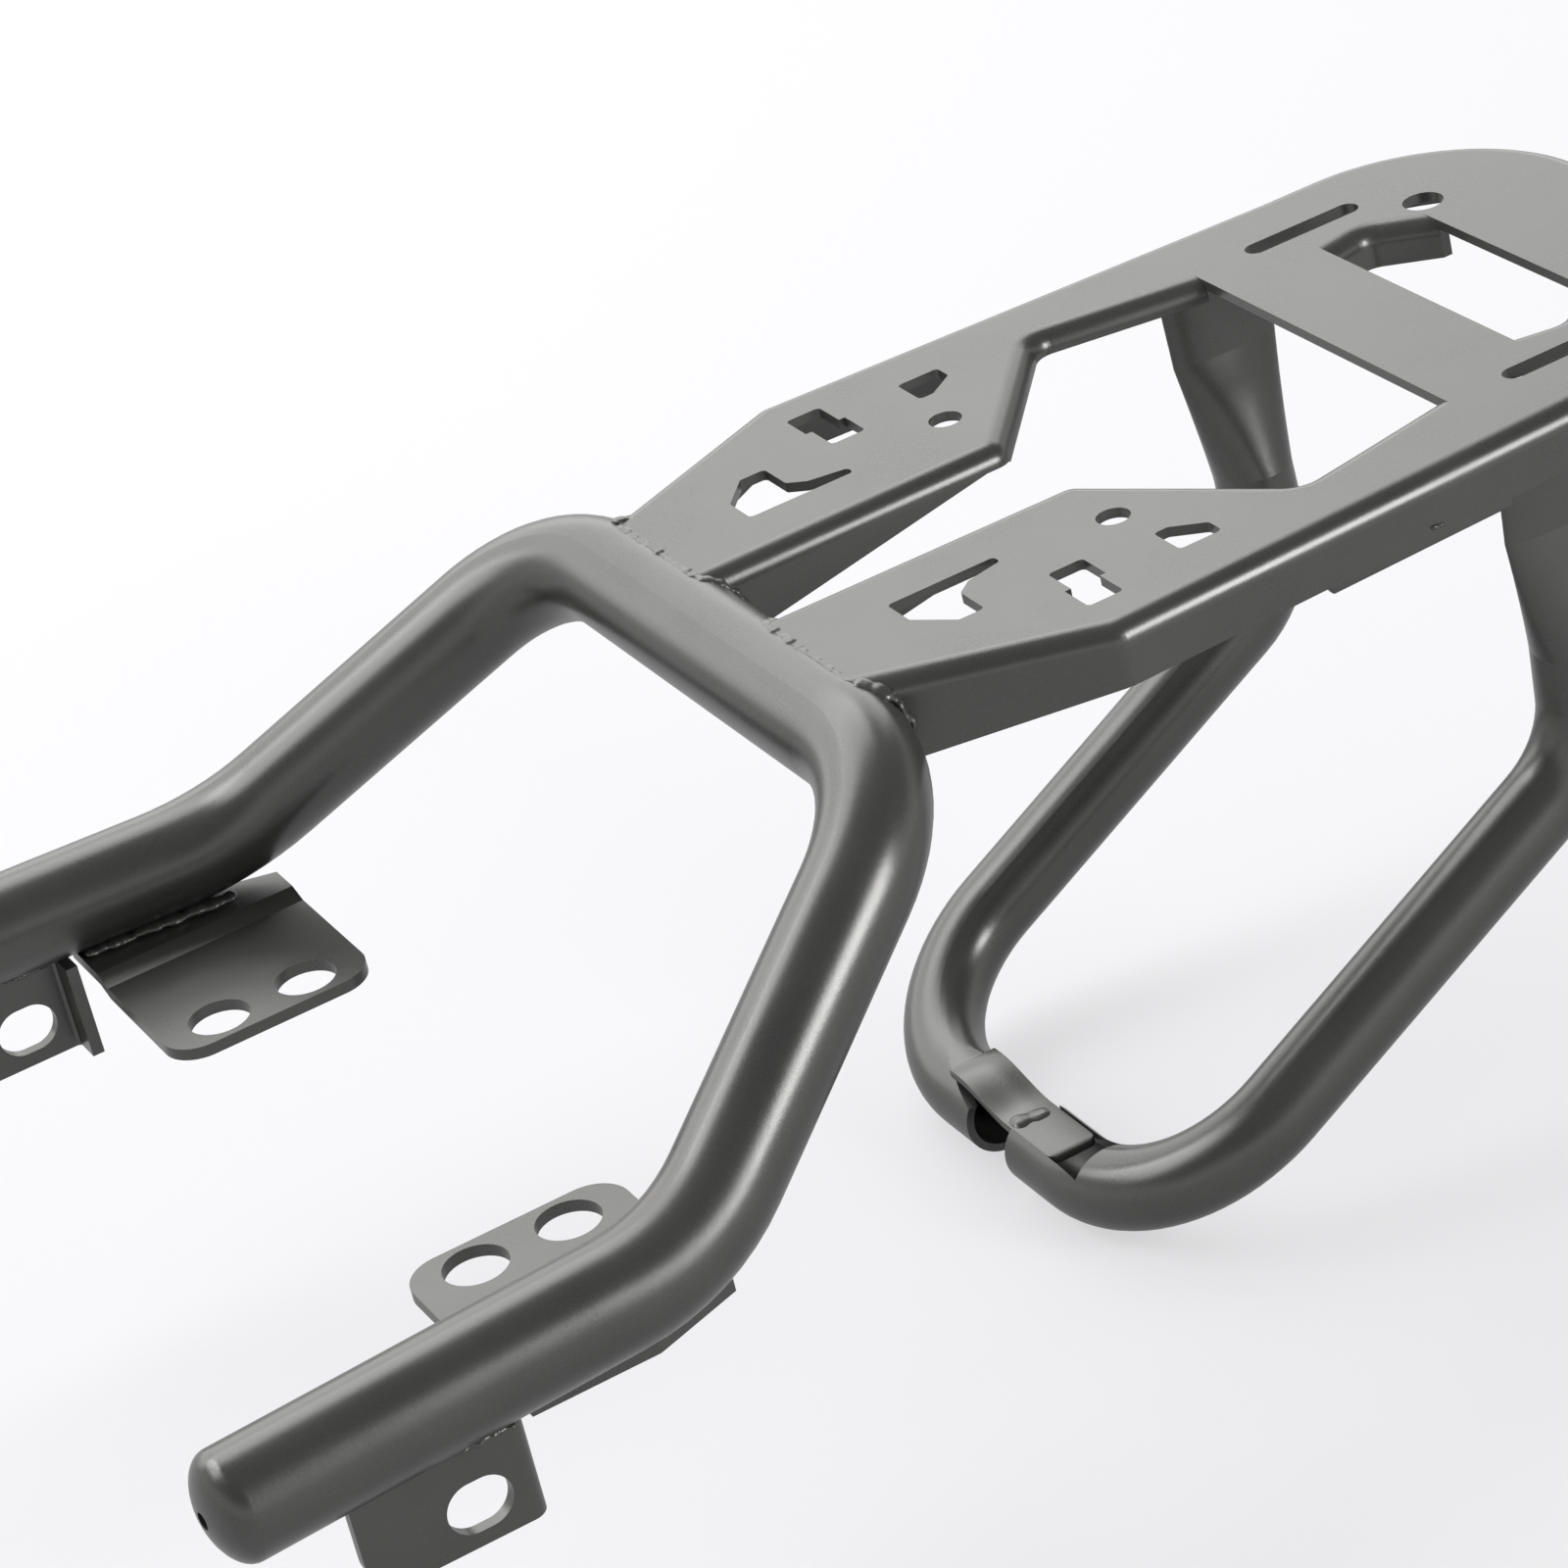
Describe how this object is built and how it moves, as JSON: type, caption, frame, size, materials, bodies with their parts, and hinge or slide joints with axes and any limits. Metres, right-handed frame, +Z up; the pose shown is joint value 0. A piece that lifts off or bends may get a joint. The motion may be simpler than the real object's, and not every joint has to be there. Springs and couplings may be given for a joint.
{
  "type": "electric scooter rear rack",
  "caption": "Rear luggage rack for an electric scooter: pressed deck plate on a bent tube frame with a support loop, mount tabs and slotted brackets.",
  "frame": {"origin": "midway between the four holes of the mount tabs, on the seat under the tabs", "axes": "+Z up, square to the deck and the tabs; +Y to the rear of the vehicle along the deck; +X to the vehicle's left"},
  "size_m": [0.2858, 0.461, 0.1735],
  "materials": {
    "powder_coat": "satin"
  },
  "bodies": {
    "root": {"main_tube": "powder_coat", "top_plate": "powder_coat", "loop_tube_left": "powder_coat", "loop_tube_right": "powder_coat", "bridge_strap": "powder_coat", "mount_tab_left": "powder_coat", "mount_tab_right": "powder_coat", "slot_bracket_left": "powder_coat", "slot_bracket_right": "powder_coat"}
  },
  "joints": []
}
